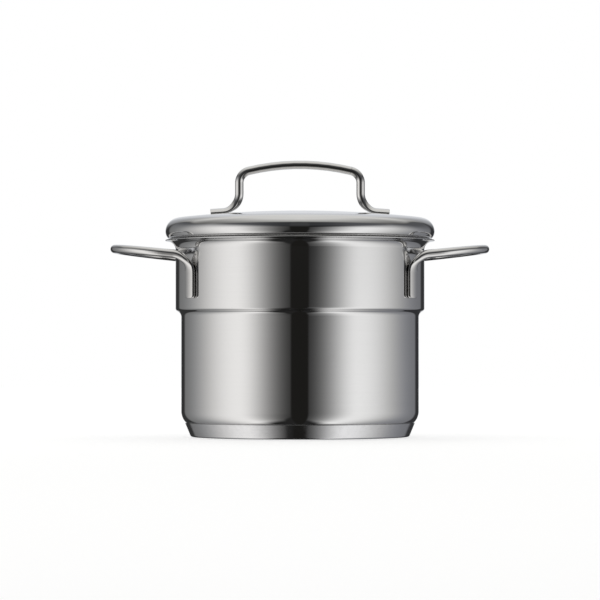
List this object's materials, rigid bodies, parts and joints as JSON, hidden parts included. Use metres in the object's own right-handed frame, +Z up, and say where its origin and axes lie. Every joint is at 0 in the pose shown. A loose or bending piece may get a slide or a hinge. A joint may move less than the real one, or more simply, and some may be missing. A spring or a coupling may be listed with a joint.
{
  "type": "stockpot with lid",
  "caption": "Small polished steel stockpot with a stepped wall, flared pouring rim, bent bar side handles, encapsulated base and a domed metal lid that lifts off by its bar handle.",
  "frame": {"origin": "centre of the flat underside that the pot stands on", "axes": "+Z up the pot's axis, +X through the right side handle, -Y towards the viewer of the picture"},
  "size_m": [0.2152, 0.153, 0.1568],
  "materials": {
    "polished_steel": "mirror polished stainless steel sheet",
    "bar_steel": "polished stainless steel bar",
    "cap_steel": "polished on the side, fine turned lines underneath",
    "core_aluminium": "plain rolled, hidden inside the base",
    "weld_steel": "resistance weld, hidden behind the pressed ends"
  },
  "bodies": {
    "pot": {"pot_body": "polished_steel", "base_heat_spreader": "core_aluminium", "base_capsule": "cap_steel", "left_handle": "bar_steel", "left_handle_front_weld": "weld_steel", "left_handle_rear_weld": "weld_steel", "right_handle": "bar_steel", "right_handle_front_weld": "weld_steel", "right_handle_rear_weld": "weld_steel"},
    "lid": {"lid_shell": "polished_steel", "lid_handle": "bar_steel", "lid_handle_left_weld": "weld_steel", "lid_handle_right_weld": "weld_steel"}
  },
  "joints": [
    {"name": "lid_lift", "type": "slide", "parent": "pot", "child": "lid", "axis": [0, 0, 1], "range_m": [0, 0.15]}
  ]
}
